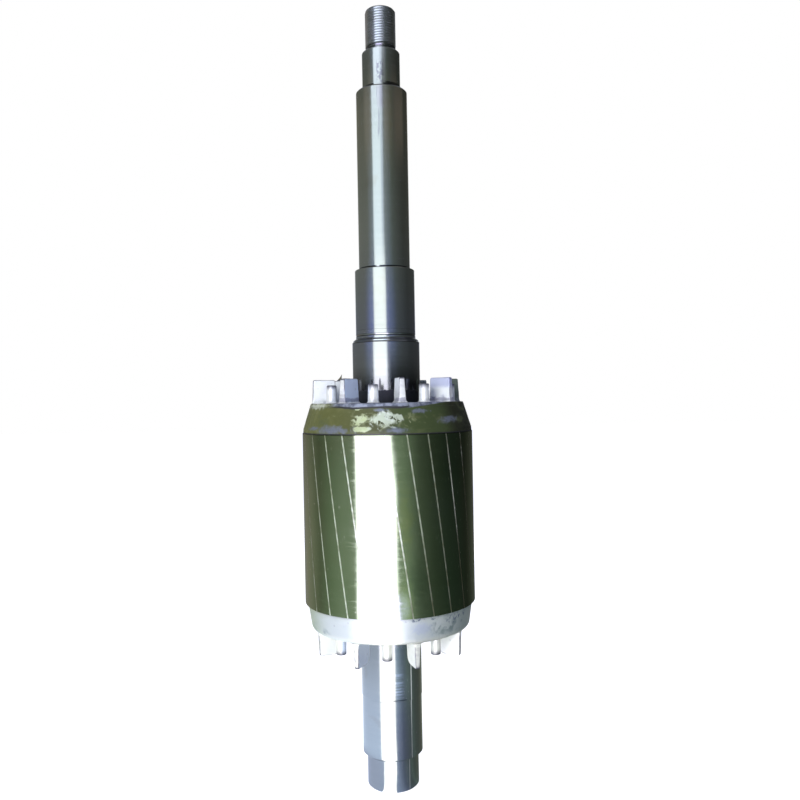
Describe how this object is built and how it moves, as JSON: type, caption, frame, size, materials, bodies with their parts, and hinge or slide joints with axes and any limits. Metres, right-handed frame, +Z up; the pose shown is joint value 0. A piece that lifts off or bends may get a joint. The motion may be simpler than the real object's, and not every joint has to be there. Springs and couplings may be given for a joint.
{
  "type": "induction motor rotor",
  "caption": "Cage rotor of an induction motor: a skew-slotted laminated core with cast end rings, fan blades and balance pegs on a stepped, threaded shaft.",
  "frame": {"origin": "centre of the end face of the shaft's lower journal, which the rotor stands on", "axes": "+Z up the shaft axis, from the lower journal to the threaded tip; -Y is the side that the front view shows"},
  "size_m": [0.199, 0.199, 0.9085],
  "materials": {
    "turned_steel": "fine turned and ground steel, with fine rings round the axis",
    "lamination_steel": "turned stack of electrical sheets, thinly varnished",
    "bar_aluminium": "turned flush with the core",
    "varnished_casting": "cast, with a patchy thin varnish",
    "bare_casting": "bare cast, matt",
    "blade_casting": "bare cast, matt, with dark edges"
  },
  "bodies": {
    "root": {"shaft": "turned_steel", "laminated_core": "lamination_steel", "cage_bars": "bar_aluminium", "upper_end_ring": "varnished_casting", "lower_end_ring": "bare_casting", "upper_fan_blade_1": "blade_casting", "upper_fan_blade_2": "blade_casting", "upper_fan_blade_3": "blade_casting", "upper_fan_blade_4": "blade_casting", "upper_fan_blade_5": "blade_casting", "upper_fan_blade_6": "blade_casting", "upper_fan_blade_7": "blade_casting", "upper_fan_blade_8": "blade_casting", "lower_fan_blade_1": "blade_casting", "lower_fan_blade_2": "blade_casting", "lower_fan_blade_3": "blade_casting", "lower_fan_blade_4": "blade_casting", "lower_fan_blade_5": "blade_casting", "lower_fan_blade_6": "blade_casting", "lower_fan_blade_7": "blade_casting", "lower_fan_blade_8": "blade_casting", "upper_balance_peg_1": "blade_casting", "upper_balance_peg_2": "blade_casting", "upper_balance_peg_3": "blade_casting", "upper_balance_peg_4": "blade_casting", "upper_balance_peg_5": "blade_casting", "upper_balance_peg_6": "blade_casting", "upper_balance_peg_7": "blade_casting", "upper_balance_peg_8": "blade_casting", "lower_balance_peg_1": "blade_casting", "lower_balance_peg_2": "blade_casting", "lower_balance_peg_3": "blade_casting", "lower_balance_peg_4": "blade_casting", "lower_balance_peg_5": "blade_casting", "lower_balance_peg_6": "blade_casting", "lower_balance_peg_7": "blade_casting", "lower_balance_peg_8": "blade_casting"}
  },
  "joints": []
}
